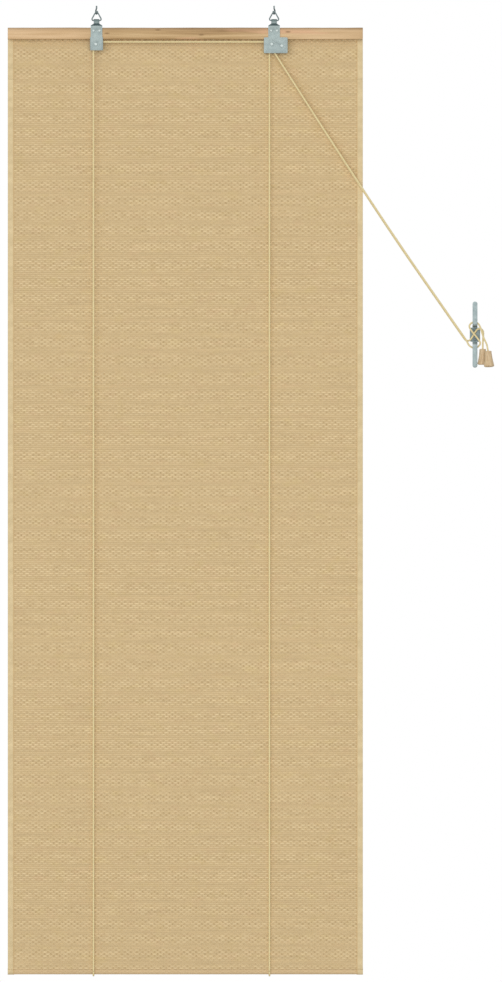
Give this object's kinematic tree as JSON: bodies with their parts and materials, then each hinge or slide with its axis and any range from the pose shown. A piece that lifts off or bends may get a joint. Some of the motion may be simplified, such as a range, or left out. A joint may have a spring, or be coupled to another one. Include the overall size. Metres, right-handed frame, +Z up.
{
  "type": "bamboo roller blind",
  "caption": "Woven bamboo reed blind on a flat head rail, hung by folded steel brackets from screw hooks and rolled up by cords through a lock to a wall cleat.",
  "frame": {"origin": "midway between the tops of the two hook shanks that the blind hangs from", "axes": "+X to the right seen from the front, +Y to the back (wall side), +Z up along the hook shanks"},
  "size_m": [0.8218, 0.0497, 1.6405],
  "materials": {
    "hook_wire": "bent zinc-plated wire",
    "galvanised_sheet": "galvanised sheet, mottled",
    "bright_steel": "zinc-plated steel",
    "cleat_steel": "galvanised sheet",
    "pulley_nylon": "moulded nylon",
    "rail_wood": "planed lath, waxed",
    "bamboo": "split reeds woven with cotton warp",
    "dowel_wood": "turned round bar",
    "tassel_wood": "turned wood, waxed",
    "cotton_cord": "laid cotton cord"
  },
  "bodies": {
    "fixings": {"screw_hooks": "hook_wire", "hanger_rings": "hook_wire", "cleat": "cleat_steel", "cleat_screws": "bright_steel", "left_pull_cord": "cotton_cord", "right_pull_cord": "cotton_cord", "left_tassel": "tassel_wood", "right_tassel": "tassel_wood"},
    "blind": {"head_rail": "rail_wood", "bamboo_mat": "bamboo", "mat_staples": "bright_steel", "left_bracket": "galvanised_sheet", "right_bracket": "galvanised_sheet", "bracket_screws": "bright_steel", "axle_rivets": "bright_steel", "left_lift_cord": "cotton_cord", "right_lift_cord": "cotton_cord", "left_back_cord": "cotton_cord", "right_back_cord": "cotton_cord"},
    "cord_cradle": {"cord_loops": "cotton_cord"},
    "roll_core": {"bottom_dowel": "dowel_wood"},
    "left_pulley": {"left_pulley": "pulley_nylon"},
    "right_pulley": {"right_pulley": "pulley_nylon"},
    "lock_cam": {"lock_cam": "bright_steel"}
  },
  "joints": [
    {"name": "blind_swing", "type": "hinge", "parent": "fixings", "child": "blind", "pos_m": [0, 0, -0.0249], "axis": [1, 0, 0], "range_deg": [-25, 25], "deforming": ["left_pull_cord", "right_pull_cord"]},
    {"name": "blind_lift", "type": "slide", "parent": "blind", "child": "cord_cradle", "axis": [0, 0, 1], "range_m": [0, 1.5], "deforming": ["bamboo_mat", "left_lift_cord", "right_lift_cord", "left_back_cord", "right_back_cord"]},
    {"name": "roll_turn", "type": "hinge", "parent": "cord_cradle", "child": "roll_core", "pos_m": [0, 0.00445, -1.63185], "axis": [1, 0, 0], "continuous": true},
    {"name": "left_pulley_spin", "type": "hinge", "parent": "blind", "child": "left_pulley", "pos_m": [-0.1512, 0, -0.0652], "axis": [0, 1, 0], "continuous": true},
    {"name": "right_pulley_spin", "type": "hinge", "parent": "blind", "child": "right_pulley", "pos_m": [0.1462, 0, -0.0652], "axis": [0, 1, 0], "continuous": true},
    {"name": "lock_cam_pivot", "type": "hinge", "parent": "blind", "child": "lock_cam", "pos_m": [0.1628, 0, -0.0678], "axis": [0, -1, 0], "range_deg": [0, 18]}
  ],
  "couplings": [
    {"joint": "roll_turn", "follows": "blind_lift", "rad_per_m": 62.832},
    {"joint": "left_pulley_spin", "follows": "blind_lift", "rad_per_m": 500},
    {"joint": "right_pulley_spin", "follows": "blind_lift", "rad_per_m": 500}
  ]
}
